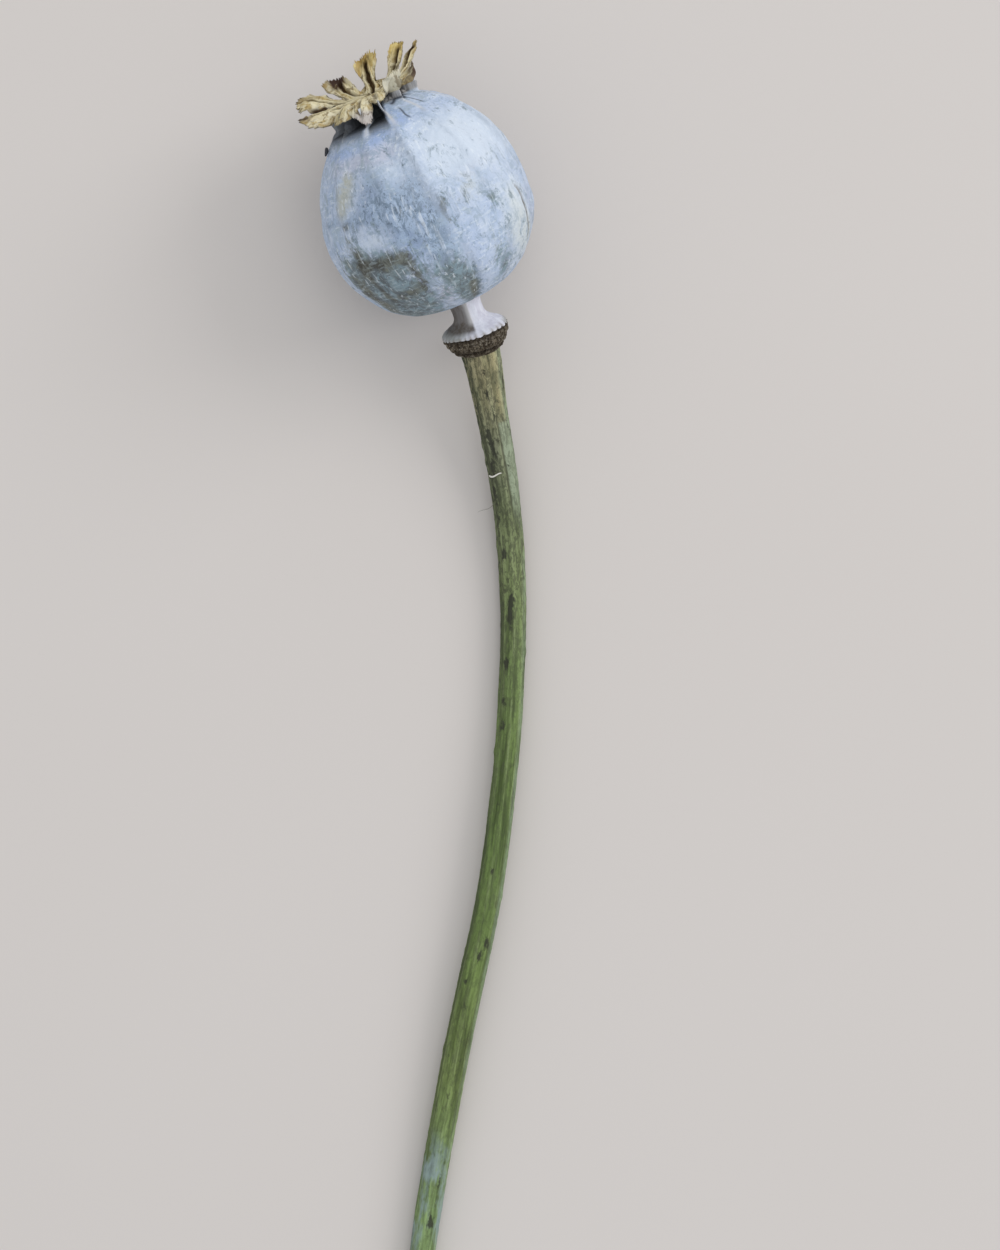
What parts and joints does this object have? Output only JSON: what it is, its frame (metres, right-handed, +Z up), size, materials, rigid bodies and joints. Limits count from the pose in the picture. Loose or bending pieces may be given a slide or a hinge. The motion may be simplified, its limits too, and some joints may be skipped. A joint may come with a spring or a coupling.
{
  "type": "poppy seed head",
  "caption": "Dried poppy seed head on its curved cut stem, lying down: a round ribbed capsule with a frilled crown of rays, a ring of pores and a flanged neck.",
  "frame": {"origin": "On the surface that the plant lies on, under the middle of its bounding box.", "axes": "+Y runs along the stem from its cut end to the head, +X is to the right seen from above with the head away from the viewer, and +Z is up."},
  "size_m": [0.0386, 0.217, 0.0346],
  "materials": {
    "capsule_wall": "dry papery shell with a pale blue waxy bloom",
    "crown_rays": "dry papery cream with brown grooves",
    "neck_skin": "chalky pale lilac grey, matt",
    "receptacle_scar": "rough fibrous brown",
    "stem_skin": "dull green with fine ribs",
    "seed_coat": "dull blue-black"
  },
  "bodies": {
    "root": {"capsule": "capsule_wall", "crown": "crown_rays", "neck": "neck_skin", "receptacle": "receptacle_scar", "stem": "stem_skin", "loose_seed": "seed_coat"}
  },
  "joints": []
}
